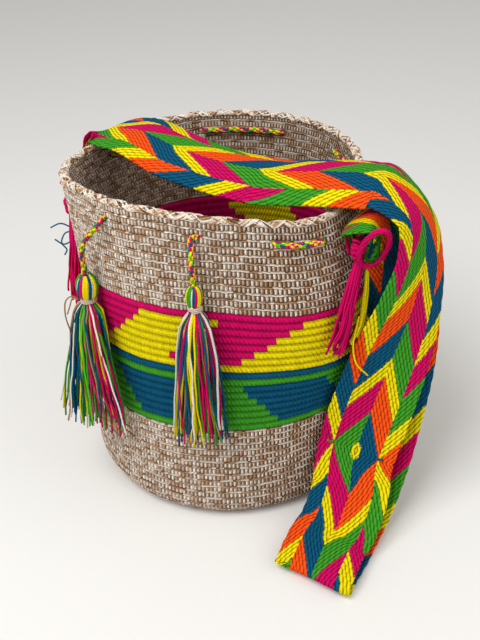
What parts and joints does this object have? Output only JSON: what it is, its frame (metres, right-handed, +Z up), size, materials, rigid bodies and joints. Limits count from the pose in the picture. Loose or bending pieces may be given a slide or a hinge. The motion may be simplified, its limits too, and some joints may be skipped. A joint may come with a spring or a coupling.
{
  "type": "shoulder bag",
  "caption": "Crocheted bucket shoulder bag, with a wide woven strap that folds over on the ground, a plaited drawstring and tassels.",
  "frame": {"origin": "middle of the flat round base, on the ground", "axes": "+Z up; the front, where both tassels hang, faces -Y; +X is to the right seen from the front, towards the strap's fold"},
  "size_m": [0.3393, 0.3801, 0.3127],
  "materials": {
    "marled_cotton": "matt cotton yarn",
    "woven_cotton": "matt cotton yarn",
    "plaited_cotton": "matt cotton yarn",
    "tassel_cotton": "matt cotton yarn",
    "white_cotton": "matt cotton yarn",
    "magenta_cotton": "matt cotton yarn",
    "yellow_cotton": "matt cotton yarn"
  },
  "bodies": {
    "bag": {"bag_body": "marled_cotton", "strap": "woven_cotton", "drawstring": "plaited_cotton", "left_strap_knot": "magenta_cotton", "right_strap_knot": "magenta_cotton", "left_strap_fringe": "magenta_cotton", "right_strap_fringe": "magenta_cotton", "right_yarn_loop": "magenta_cotton", "right_yellow_cord": "yellow_cotton"},
    "left_hanging": {"left_tail": "plaited_cotton", "left_tassel": "tassel_cotton", "left_tassel_tie": "white_cotton"},
    "right_hanging": {"right_tail": "plaited_cotton", "right_tassel": "tassel_cotton", "right_tassel_tie": "white_cotton"}
  },
  "joints": [
    {"name": "left_tassel_swing", "type": "hinge", "parent": "bag", "child": "left_hanging", "pos_m": [-0.09455, -0.08643, 0.2916], "axis": [-0.6626, 0.749, 0], "range_deg": [0, 90]},
    {"name": "right_tassel_swing", "type": "hinge", "parent": "bag", "child": "right_hanging", "pos_m": [-0.0223, -0.12551, 0.29063], "axis": [-0.9903, 0.1392, 0], "range_deg": [0, 90]}
  ]
}
